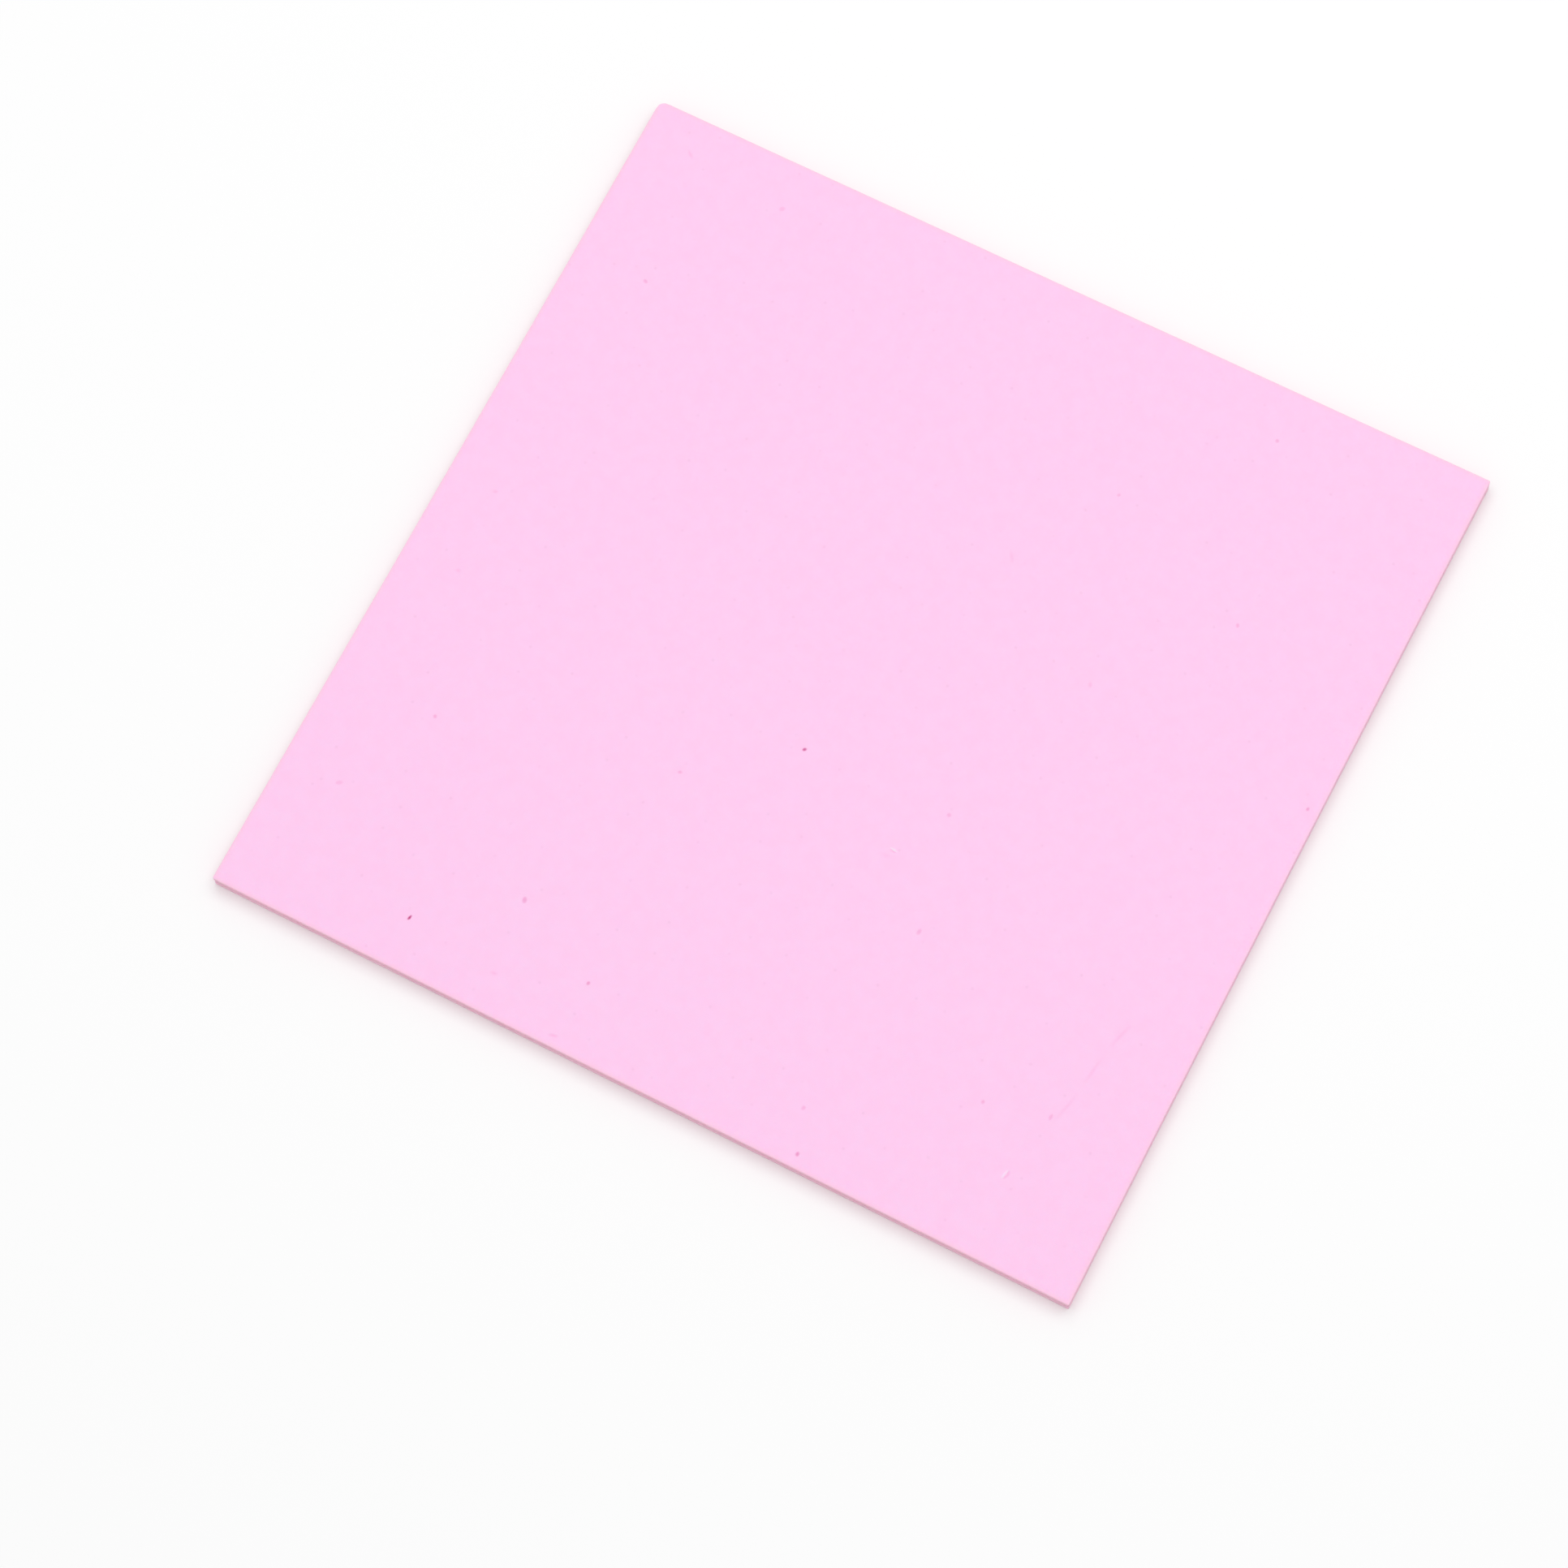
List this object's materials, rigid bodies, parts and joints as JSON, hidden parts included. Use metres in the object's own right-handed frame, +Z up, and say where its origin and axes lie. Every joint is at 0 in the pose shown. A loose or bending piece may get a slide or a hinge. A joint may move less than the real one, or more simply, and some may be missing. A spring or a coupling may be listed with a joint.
{
  "type": "scoring board",
  "caption": "Plain flat square craft board with sharp corners and no grooves, soft-faced on both sides, for paper to rest on while it is scored or cut.",
  "frame": {"origin": "centre of the lower face, on the surface that the board lies on", "axes": "+Z up, out of the upper face; X and Y along the board's sides"},
  "size_m": [0.1, 0.1, 0.002],
  "materials": {
    "face_sheet": "matte",
    "core_sheet": "matte"
  },
  "bodies": {
    "root": {"upper_sheet": "face_sheet", "core_sheet": "core_sheet", "lower_sheet": "face_sheet"}
  },
  "joints": []
}
